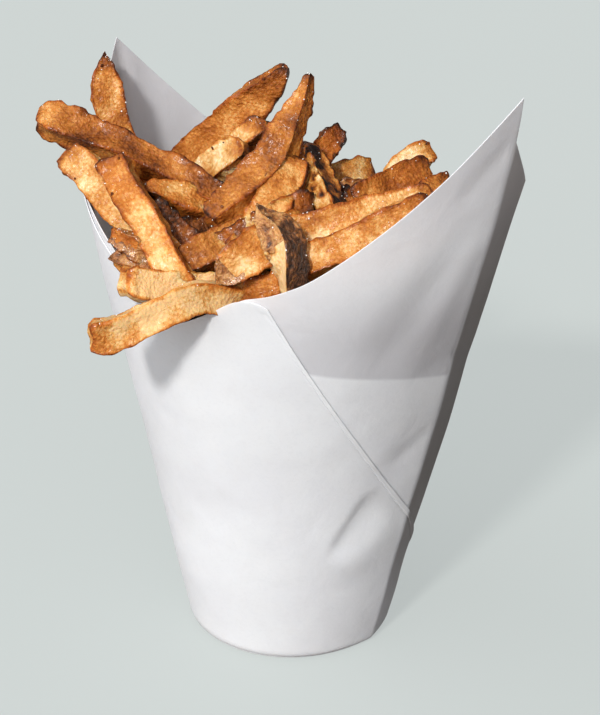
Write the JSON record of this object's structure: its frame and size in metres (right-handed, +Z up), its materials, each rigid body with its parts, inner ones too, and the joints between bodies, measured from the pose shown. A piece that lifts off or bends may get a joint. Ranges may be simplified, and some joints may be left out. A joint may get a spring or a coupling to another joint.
{
  "type": "french fries in a paper cone",
  "caption": "Hand-cut, skin-on french fries heaped in a flat-bottomed cone rolled from white deli paper, with tall standing corners and a diagonal folded edge.",
  "frame": {"origin": "middle of the flat paper base, on the surface that the cone stands on", "axes": "+Z up; -Y to the front, where the sheet's folded edge crosses the wrapper; +X towards the taller standing corner"},
  "size_m": [0.143, 0.1315, 0.192],
  "materials": {
    "paper": "thin white deli paper, matt with a faint wax sheen",
    "fries": "fried potato: golden, blistered, browned at edges and ends, lightly oiled and salted"
  },
  "bodies": {
    "root": {"paper_cone": "paper", "fries": "fries"}
  },
  "joints": []
}
